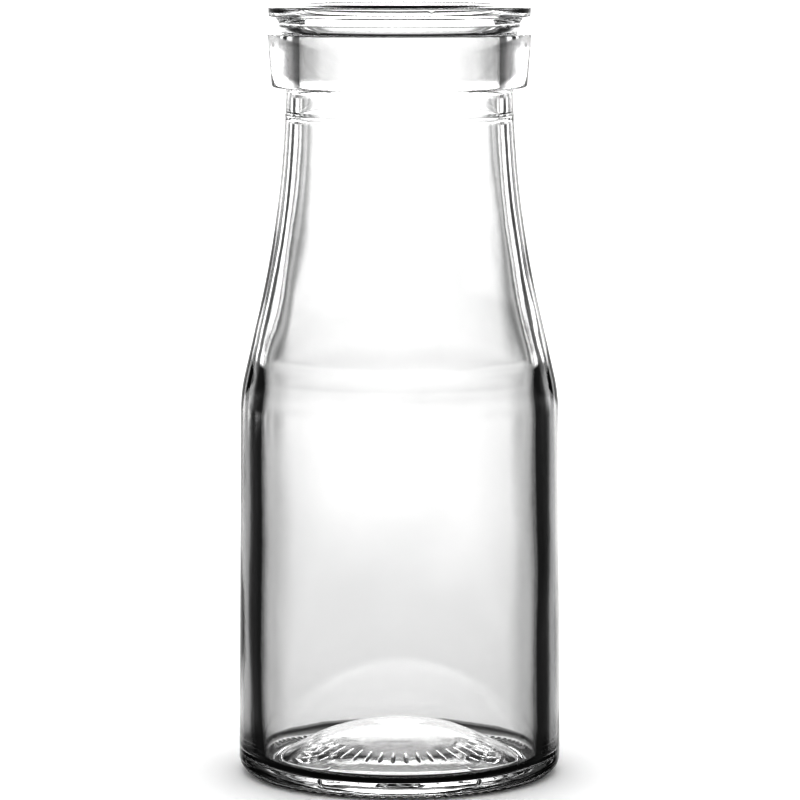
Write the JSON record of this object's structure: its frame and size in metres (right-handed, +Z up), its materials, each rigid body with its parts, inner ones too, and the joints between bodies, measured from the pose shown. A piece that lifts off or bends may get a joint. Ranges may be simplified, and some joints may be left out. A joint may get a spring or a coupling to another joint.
{
  "type": "milk bottle",
  "caption": "Small clear glass milk bottle with a wide mouth, a snap bead over a deep collar, a long sloping shoulder and a knurled standing ring.",
  "frame": {"origin": "centre of the standing ring, on the surface that the bottle stands on", "axes": "+Z up through the mouth, along the bottle's axis; the moulded marks under the base and the collar seams face -Y and +Y"},
  "size_m": [0.0664, 0.0664, 0.158],
  "materials": {
    "clear_glass": "clear soda-lime glass, fire-polished inside and out, with a satin knurled standing ring"
  },
  "bodies": {
    "root": {"glass_bottle": "clear_glass"}
  },
  "joints": []
}
